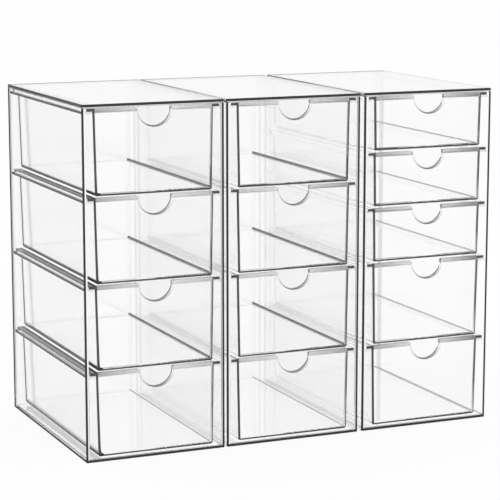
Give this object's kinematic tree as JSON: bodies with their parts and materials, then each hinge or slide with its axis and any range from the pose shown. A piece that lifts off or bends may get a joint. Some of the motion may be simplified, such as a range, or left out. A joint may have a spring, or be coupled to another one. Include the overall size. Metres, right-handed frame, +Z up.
{
  "type": "drawer organizer",
  "caption": "Clear plastic drawer towers side by side for craft stamps and small parts, with sliding trays that have half-moon finger notches.",
  "frame": {"origin": "on the floor, under the middle of the row of towers", "axes": "+X along the row to the right as seen from the front, +Y from the fronts towards the backs, +Z up"},
  "size_m": [0.388, 0.21, 0.305],
  "materials": {
    "clear_sheet": "clear polished sheet",
    "clear_rail": "clear polished strip",
    "clear_moulding": "clear glossy moulding"
  },
  "bodies": {
    "cases": {"left_case_left_side": "clear_sheet", "left_case_right_side": "clear_sheet", "left_case_top": "clear_sheet", "left_case_base": "clear_sheet", "left_case_back": "clear_sheet", "left_rail_1_left": "clear_rail", "left_rail_1_right": "clear_rail", "left_rail_2_left": "clear_rail", "left_rail_2_right": "clear_rail", "left_rail_3_left": "clear_rail", "left_rail_3_right": "clear_rail", "left_rail_4_left": "clear_rail", "left_rail_4_right": "clear_rail", "middle_case_left_side": "clear_sheet", "middle_case_right_side": "clear_sheet", "middle_case_top": "clear_sheet", "middle_case_base": "clear_sheet", "middle_case_back": "clear_sheet", "middle_rail_1_left": "clear_rail", "middle_rail_1_right": "clear_rail", "middle_rail_2_left": "clear_rail", "middle_rail_2_right": "clear_rail", "middle_rail_3_left": "clear_rail", "middle_rail_3_right": "clear_rail", "middle_rail_4_left": "clear_rail", "middle_rail_4_right": "clear_rail", "right_case_left_side": "clear_sheet", "right_case_right_side": "clear_sheet", "right_case_top": "clear_sheet", "right_case_base": "clear_sheet", "right_case_back": "clear_sheet", "right_rail_1_left": "clear_rail", "right_rail_1_right": "clear_rail", "right_rail_2_left": "clear_rail", "right_rail_2_right": "clear_rail", "right_rail_3_left": "clear_rail", "right_rail_3_right": "clear_rail", "right_rail_4_left": "clear_rail", "right_rail_4_right": "clear_rail", "right_rail_5_left": "clear_rail", "right_rail_5_right": "clear_rail"},
    "left_drawer_1": {"left_drawer_1": "clear_moulding"},
    "left_drawer_2": {"left_drawer_2": "clear_moulding"},
    "left_drawer_3": {"left_drawer_3": "clear_moulding"},
    "left_drawer_4": {"left_drawer_4": "clear_moulding"},
    "middle_drawer_1": {"middle_drawer_1": "clear_moulding"},
    "middle_drawer_2": {"middle_drawer_2": "clear_moulding"},
    "middle_drawer_3": {"middle_drawer_3": "clear_moulding"},
    "middle_drawer_4": {"middle_drawer_4": "clear_moulding"},
    "right_drawer_1": {"right_drawer_1": "clear_moulding"},
    "right_drawer_2": {"right_drawer_2": "clear_moulding"},
    "right_drawer_3": {"right_drawer_3": "clear_moulding"},
    "right_drawer_4": {"right_drawer_4": "clear_moulding"},
    "right_drawer_5": {"right_drawer_5": "clear_moulding"}
  },
  "joints": [
    {"name": "left_drawer_1_slide", "type": "slide", "parent": "cases", "child": "left_drawer_1", "axis": [0, -1, 0], "range_m": [0, 0.165]},
    {"name": "left_drawer_2_slide", "type": "slide", "parent": "cases", "child": "left_drawer_2", "axis": [0, -1, 0], "range_m": [0, 0.165]},
    {"name": "left_drawer_3_slide", "type": "slide", "parent": "cases", "child": "left_drawer_3", "axis": [0, -1, 0], "range_m": [0, 0.165]},
    {"name": "left_drawer_4_slide", "type": "slide", "parent": "cases", "child": "left_drawer_4", "axis": [0, -1, 0], "range_m": [0, 0.165]},
    {"name": "middle_drawer_1_slide", "type": "slide", "parent": "cases", "child": "middle_drawer_1", "axis": [0, -1, 0], "range_m": [0, 0.165]},
    {"name": "middle_drawer_2_slide", "type": "slide", "parent": "cases", "child": "middle_drawer_2", "axis": [0, -1, 0], "range_m": [0, 0.165]},
    {"name": "middle_drawer_3_slide", "type": "slide", "parent": "cases", "child": "middle_drawer_3", "axis": [0, -1, 0], "range_m": [0, 0.165]},
    {"name": "middle_drawer_4_slide", "type": "slide", "parent": "cases", "child": "middle_drawer_4", "axis": [0, -1, 0], "range_m": [0, 0.165]},
    {"name": "right_drawer_1_slide", "type": "slide", "parent": "cases", "child": "right_drawer_1", "axis": [0, -1, 0], "range_m": [0, 0.165]},
    {"name": "right_drawer_2_slide", "type": "slide", "parent": "cases", "child": "right_drawer_2", "axis": [0, -1, 0], "range_m": [0, 0.165]},
    {"name": "right_drawer_3_slide", "type": "slide", "parent": "cases", "child": "right_drawer_3", "axis": [0, -1, 0], "range_m": [0, 0.165]},
    {"name": "right_drawer_4_slide", "type": "slide", "parent": "cases", "child": "right_drawer_4", "axis": [0, -1, 0], "range_m": [0, 0.165]},
    {"name": "right_drawer_5_slide", "type": "slide", "parent": "cases", "child": "right_drawer_5", "axis": [0, -1, 0], "range_m": [0, 0.165]}
  ]
}
